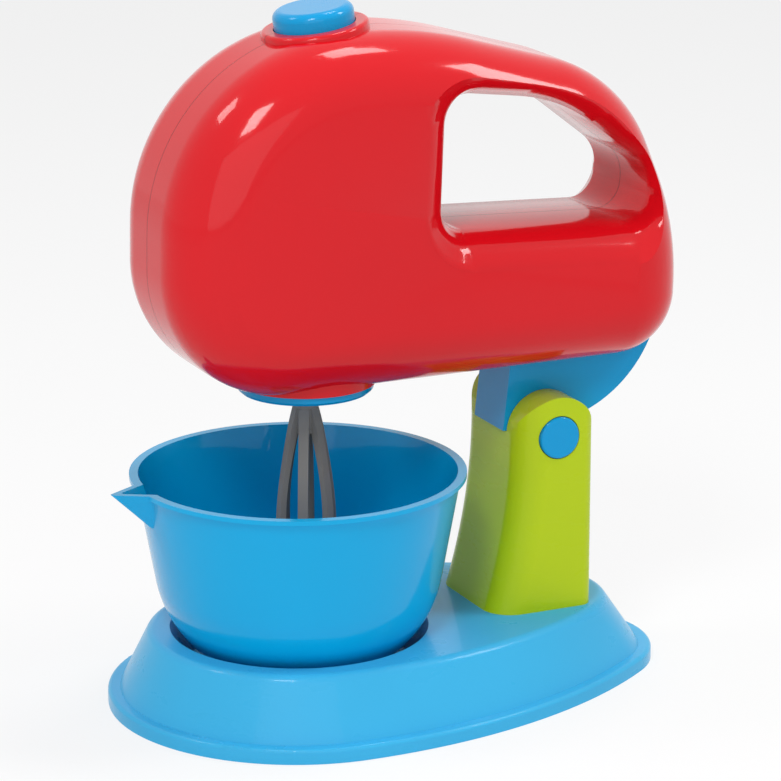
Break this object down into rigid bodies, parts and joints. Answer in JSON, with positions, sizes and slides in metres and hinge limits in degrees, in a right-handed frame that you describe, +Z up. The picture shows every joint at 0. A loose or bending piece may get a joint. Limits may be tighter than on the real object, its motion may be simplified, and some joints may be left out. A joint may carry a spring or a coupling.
{
  "type": "toy stand mixer",
  "caption": "Toy stand mixer: a hand-mixer head with an open handle tilts on a post above a lift-out bowl; a top button starts a geared whisk.",
  "frame": {"origin": "on the table, below the middle of the whole toy's box", "axes": "+Z is up, -X is the front where the whisk hangs over the bowl, and the toy's left and right are along Y"},
  "size_m": [0.212, 0.1384, 0.2526],
  "materials": {
    "red": "high gloss",
    "bowl_blue": "gloss",
    "base_blue": "satin gloss",
    "trim_blue": "gloss",
    "green": "satin gloss",
    "grey": "matt",
    "nylon": "matt",
    "black": "matt",
    "board_brown": "matt",
    "cell_wrap": "satin",
    "steel": "bright",
    "motor_steel": "satin",
    "contact_steel": "bright",
    "brass": "bright"
  },
  "bodies": {
    "stand": {"base_shell": "base_blue", "post": "green", "post_screws": "steel", "hinge_pin": "steel", "pivot_cap_left": "trim_blue", "pivot_cap_right": "trim_blue"},
    "head": {"head_shell_left": "red", "head_shell_right": "red", "case_screws": "steel", "battery_door": "red", "door_screw": "steel", "hinge_block": "trim_blue", "block_screws": "steel", "collar": "trim_blue", "gear_plate": "black", "gear_axle": "steel", "motor": "motor_steel", "switch_plate": "board_brown", "switch_terminals": "brass", "button_spring": "steel", "battery_lower": "cell_wrap", "battery_upper": "cell_wrap", "battery_tray": "black", "battery_link": "contact_steel", "battery_terminals": "contact_steel"},
    "button": {"start_button": "trim_blue", "contact_bridge": "brass"},
    "beater": {"whisk": "grey", "drive_spindle": "nylon", "output_gear": "nylon"},
    "reduction": {"reduction_gear": "nylon"},
    "pinion": {"motor_pinion": "brass", "motor_shaft": "steel"},
    "bowl": {"mixing_bowl": "bowl_blue"}
  },
  "joints": [
    {"name": "head_tilt", "type": "hinge", "parent": "stand", "child": "head", "pos_m": [0.057, 0, 0.092], "axis": [0, 1, 0], "range_deg": [0, 45]},
    {"name": "button_press", "type": "slide", "parent": "head", "child": "button", "axis": [0.1392, 0, -0.9903], "range_m": [0, 0.003], "stiffness_N_per_m": 400, "deforming": ["button_spring"]},
    {"name": "whisk_spin", "type": "hinge", "parent": "head", "child": "beater", "pos_m": [-0.0315, 0, 0.1], "axis": [0, 0, 1], "continuous": true},
    {"name": "reduction_spin", "type": "hinge", "parent": "head", "child": "reduction", "pos_m": [-0.0075, 0, 0.15], "axis": [0, 0, 1], "continuous": true},
    {"name": "pinion_spin", "type": "hinge", "parent": "head", "child": "pinion", "pos_m": [0.0165, 0, 0.155], "axis": [0, 0, 1], "continuous": true},
    {"name": "bowl_lift", "type": "slide", "parent": "stand", "child": "bowl", "axis": [0, 0, 1], "range_m": [0, 0.012]}
  ],
  "couplings": [
    {"joint": "reduction_spin", "follows": "whisk_spin", "ratio": -3},
    {"joint": "pinion_spin", "follows": "whisk_spin", "ratio": 9}
  ]
}
